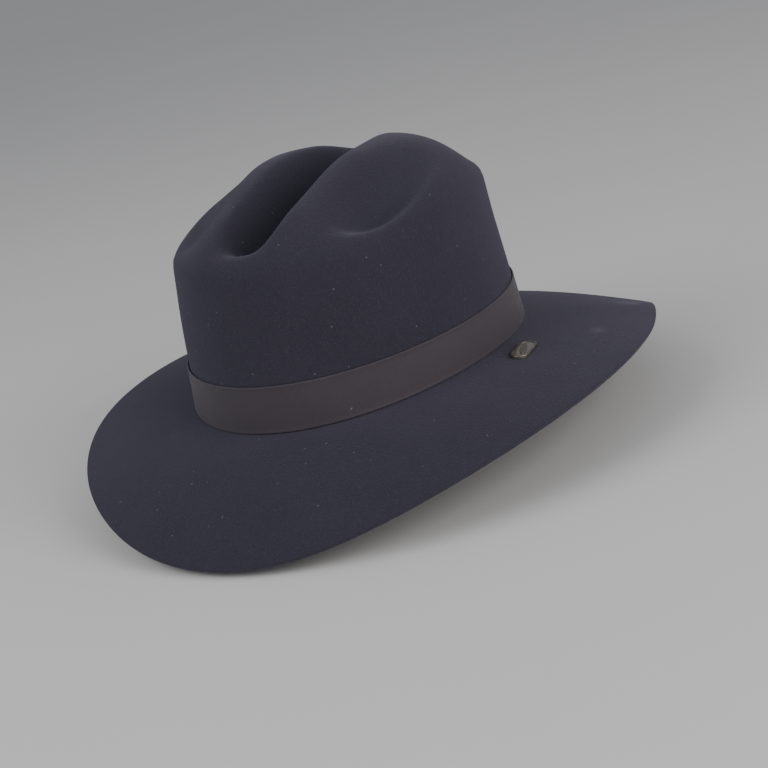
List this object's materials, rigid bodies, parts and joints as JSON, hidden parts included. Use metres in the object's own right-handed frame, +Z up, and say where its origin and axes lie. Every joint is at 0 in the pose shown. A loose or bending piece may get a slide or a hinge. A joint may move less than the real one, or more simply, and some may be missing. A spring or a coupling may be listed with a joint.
{
  "type": "cowboy hat",
  "caption": "Felt cowboy hat with a creased crown, a curved oval brim, a grosgrain ribbon band, a leather sweatband, a satin liner and a small oval brim pin.",
  "frame": {"origin": "middle of the head opening, level with the break where crown and brim meet", "axes": "+Z up through the crown, -Y towards the front of the brim, +X towards the wearer's left"},
  "size_m": [0.313, 0.3527, 0.1621],
  "materials": {
    "felt": "napped fur felt, matt",
    "ribbon": "grosgrain, fine ribs, low sheen",
    "thread": "twisted thread",
    "leather": "smooth grained leather, satin",
    "reed": "satin",
    "lining": "satin weave, soft sheen",
    "piping": "corded satin",
    "tag": "plain woven tag",
    "badge_metal": "antique nickel over brass, brushed and worn",
    "badge_enamel": "dark translucent enamel",
    "clutch_metal": "polished",
    "spring_metal": "satin"
  },
  "bodies": {
    "hat": {"felt_body": "felt", "ribbon_band": "ribbon", "ribbon_tacks": "thread", "ribbon_join_stitches": "thread", "sweatband": "leather", "sweatband_reed": "reed", "reed_tape": "ribbon", "sweatband_stitches": "thread", "seam_tape": "leather", "seam_stitches": "thread", "sweatband_bow": "ribbon", "size_tag": "tag", "liner_side_band": "lining", "liner_tip": "lining", "liner_piping": "piping"},
    "pin_badge": {"badge_plate": "badge_metal", "badge_inlay": "badge_enamel", "badge_leaf": "badge_metal", "badge_post": "badge_metal"},
    "pin_clutch": {"clutch_cup": "clutch_metal", "clutch_spring": "spring_metal"}
  },
  "joints": [
    {"name": "clutch_pull", "type": "slide", "parent": "hat", "child": "pin_clutch", "axis": [-0.1127, 0.0115, -0.9936], "range_m": [0, 0.01]},
    {"name": "badge_pull", "type": "slide", "parent": "hat", "child": "pin_badge", "axis": [0.1127, -0.0115, 0.9936], "range_m": [0, 0.012]}
  ]
}
